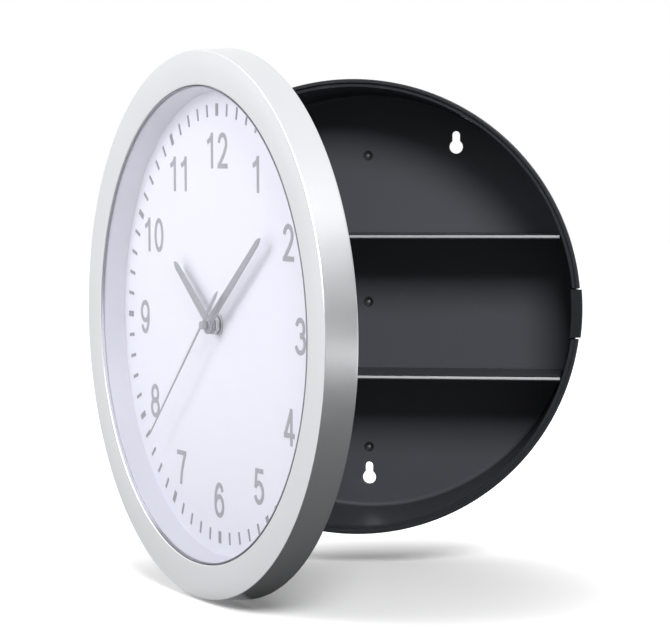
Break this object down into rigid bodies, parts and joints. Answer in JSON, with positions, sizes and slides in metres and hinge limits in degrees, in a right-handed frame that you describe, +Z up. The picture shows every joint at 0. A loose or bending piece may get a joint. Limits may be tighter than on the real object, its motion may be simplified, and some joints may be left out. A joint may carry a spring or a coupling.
{
  "type": "clock diversion safe",
  "caption": "Round wall clock whose front swings open on a side hinge to reveal a shelved hidden case, with a quartz movement on the back of the door.",
  "frame": {"origin": "centre of the flat back face of the case, on the wall", "axes": "+Y into the wall, +Z up, +X to the right as seen by a person facing the clock"},
  "size_m": [0.2432, 0.254, 0.2502],
  "materials": {
    "black_plastic": "semi-gloss moulded black",
    "silver_plastic": "satin silver spray over moulded plastic",
    "white_plastic": "smooth moulded white",
    "dial_sheet": "matt white sheet with pale grey print",
    "clear_plastic": "polished and clear",
    "hand_metal": "satin grey",
    "steel": "bright zinc plate",
    "brass": "turned",
    "rubber": "matt",
    "gear_plastic": "natural moulded acetal",
    "copper_wire": "enamelled winding",
    "circuit_board": "lacquered board",
    "cell_wrap": "printed film wrap without lettering"
  },
  "bodies": {
    "case": {"case_shell": "black_plastic", "upper_shelf": "black_plastic", "lower_shelf": "black_plastic", "hinge_pin": "steel"},
    "latch": {"latch_tongue": "black_plastic"},
    "door": {"door_bezel": "silver_plastic", "lens": "clear_plastic", "dial_surround": "white_plastic", "dial": "dial_sheet", "door_plate": "black_plastic", "cover_screw_1": "steel", "cover_screw_2": "steel", "cover_screw_3": "steel", "cover_screw_4": "steel", "rubber_washer": "rubber", "brass_washer": "brass", "fixing_nut": "brass", "movement_cover": "black_plastic", "movement_tray": "black_plastic", "battery": "cell_wrap", "positive_contact": "steel", "negative_contact": "steel", "stator": "steel", "coil": "copper_wire", "circuit_board": "circuit_board", "quartz_crystal": "steel"},
    "second": {"second_hand": "hand_metal", "seconds_wheel": "gear_plastic"},
    "rotor_magnet": {"rotor": "steel"},
    "intermediate": {"intermediate_wheel": "gear_plastic"},
    "third": {"third_wheel": "gear_plastic"},
    "centre": {"centre_wheel": "gear_plastic"},
    "minute": {"minute_hand": "hand_metal", "cannon_pinion": "brass"},
    "transfer": {"transfer_wheel": "gear_plastic"},
    "hour": {"hour_hand": "hand_metal", "hour_wheel": "gear_plastic"},
    "knob": {"setting_knob": "white_plastic"}
  },
  "joints": [
    {"name": "door_hinge", "type": "hinge", "parent": "case", "child": "door", "pos_m": [-0.1154, -0.05655, -0.0023], "axis": [0, 0, -1], "range_deg": [-52.2, 47.8]},
    {"name": "latch_flex", "type": "hinge", "parent": "case", "child": "latch", "pos_m": [0.1071, -0.032, -0.0023], "axis": [0, 0, -1], "range_deg": [0, 3], "stiffness_Nm_per_rad": 0.8},
    {"name": "second_spin", "type": "hinge", "parent": "door", "child": "second", "pos_m": [-0.04661, -0.14924, -0.0023], "axis": [0.7902, 0.6129, 0], "continuous": true},
    {"name": "rotor_spin", "type": "hinge", "parent": "door", "child": "rotor_magnet", "pos_m": [-0.05427, -0.13936, 0.00729], "axis": [0.7902, 0.6129, 0], "continuous": true},
    {"name": "intermediate_spin", "type": "hinge", "parent": "door", "child": "intermediate", "pos_m": [-0.05041, -0.14433, 0.00422], "axis": [0.7902, 0.6129, 0], "continuous": true},
    {"name": "third_spin", "type": "hinge", "parent": "door", "child": "third", "pos_m": [-0.04265, -0.15434, 0.00323], "axis": [0.7902, 0.6129, 0], "continuous": true},
    {"name": "centre_spin", "type": "hinge", "parent": "door", "child": "centre", "pos_m": [-0.04661, -0.14924, -0.0023], "axis": [0.7902, 0.6129, 0], "continuous": true},
    {"name": "minute_spin", "type": "hinge", "parent": "door", "child": "minute", "pos_m": [-0.04661, -0.14924, -0.0023], "axis": [0.7902, 0.6129, 0], "continuous": true},
    {"name": "transfer_spin", "type": "hinge", "parent": "door", "child": "transfer", "pos_m": [-0.0422, -0.15492, -0.00581], "axis": [0.7902, 0.6129, 0], "continuous": true},
    {"name": "hour_spin", "type": "hinge", "parent": "door", "child": "hour", "pos_m": [-0.04661, -0.14924, -0.0023], "axis": [0.7902, 0.6129, 0], "continuous": true},
    {"name": "knob_spin", "type": "hinge", "parent": "door", "child": "knob", "pos_m": [-0.03678, -0.1619, -0.00409], "axis": [0.7902, 0.6129, 0], "continuous": true}
  ],
  "couplings": [
    {"joint": "rotor_spin", "follows": "second_spin", "ratio": 30},
    {"joint": "intermediate_spin", "follows": "second_spin", "ratio": -5},
    {"joint": "third_spin", "follows": "second_spin", "ratio": -0.13333},
    {"joint": "centre_spin", "follows": "second_spin", "ratio": 0.016667},
    {"joint": "transfer_spin", "follows": "minute_spin", "ratio": -0.33333},
    {"joint": "hour_spin", "follows": "minute_spin", "ratio": 0.083333},
    {"joint": "knob_spin", "follows": "minute_spin", "ratio": 0.66667}
  ]
}
